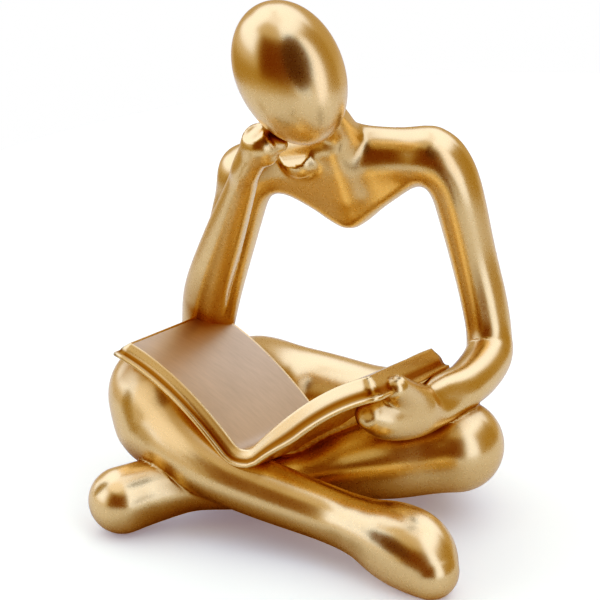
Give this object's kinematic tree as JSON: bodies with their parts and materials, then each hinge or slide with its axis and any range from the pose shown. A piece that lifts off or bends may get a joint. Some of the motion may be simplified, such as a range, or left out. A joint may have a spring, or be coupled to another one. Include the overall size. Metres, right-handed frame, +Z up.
{
  "type": "reading figure statue",
  "caption": "Abstract cross-legged figure with an egg-shaped faceless head resting on one hand, reading an open book on its lap.",
  "frame": {"origin": "on the floor, under the middle of the figure's bounding box", "axes": "+Z up, the figure faces -Y, its own left hand is on +X"},
  "size_m": [0.1078, 0.1058, 0.1505],
  "materials": {
    "gold_paint": "satin metallic gold paint over cast resin, with a fine brushed grain"
  },
  "bodies": {
    "root": {"reading_figure": "gold_paint"}
  },
  "joints": []
}
